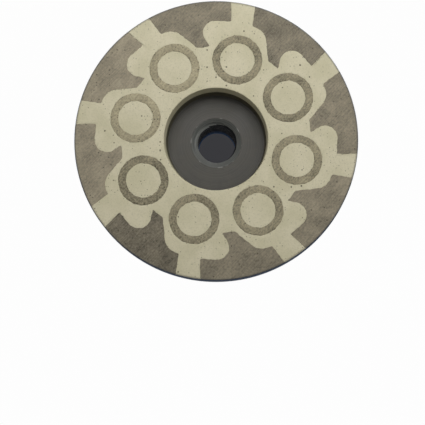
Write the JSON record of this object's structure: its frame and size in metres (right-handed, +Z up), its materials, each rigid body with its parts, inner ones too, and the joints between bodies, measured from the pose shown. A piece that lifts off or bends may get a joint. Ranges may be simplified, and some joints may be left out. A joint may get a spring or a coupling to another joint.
{
  "type": "diamond grinding wheel",
  "caption": "Resin-filled diamond cup wheel for wet grinding of stone edges, with abrasive rim segments and rings on a threaded steel body with wrench flats.",
  "frame": {"origin": "where the wheel's axis meets the end of the threaded hub", "axes": "+Y along the axis, out of the hub's open end; -Y out of the grinding face; +X to the right and +Z up as the grinding face is seen"},
  "size_m": [0.1, 0.027, 0.1],
  "materials": {
    "blue_paint": "satin blue paint on turned steel; bare dark steel in the recess and inside the bore",
    "cream_resin": "cast resin ground flush, matt, with small dark pores",
    "rim_bond": "ground sintered metal bond with fine grit, matt",
    "ring_bond": "ground sintered metal bond with fine grit, matt"
  },
  "bodies": {
    "root": {"steel_body": "blue_paint", "resin_fill": "cream_resin", "rim_segment_1": "rim_bond", "rim_segment_2": "rim_bond", "rim_segment_3": "rim_bond", "rim_segment_4": "rim_bond", "rim_segment_5": "rim_bond", "rim_segment_6": "rim_bond", "rim_segment_7": "rim_bond", "rim_segment_8": "rim_bond", "ring_segment_1": "ring_bond", "ring_segment_2": "ring_bond", "ring_segment_3": "ring_bond", "ring_segment_4": "ring_bond", "ring_segment_5": "ring_bond", "ring_segment_6": "ring_bond", "ring_segment_7": "ring_bond", "ring_segment_8": "ring_bond", "ring_core_1": "cream_resin", "ring_core_2": "cream_resin", "ring_core_3": "cream_resin", "ring_core_4": "cream_resin", "ring_core_5": "cream_resin", "ring_core_6": "cream_resin", "ring_core_7": "cream_resin", "ring_core_8": "cream_resin"}
  },
  "joints": []
}
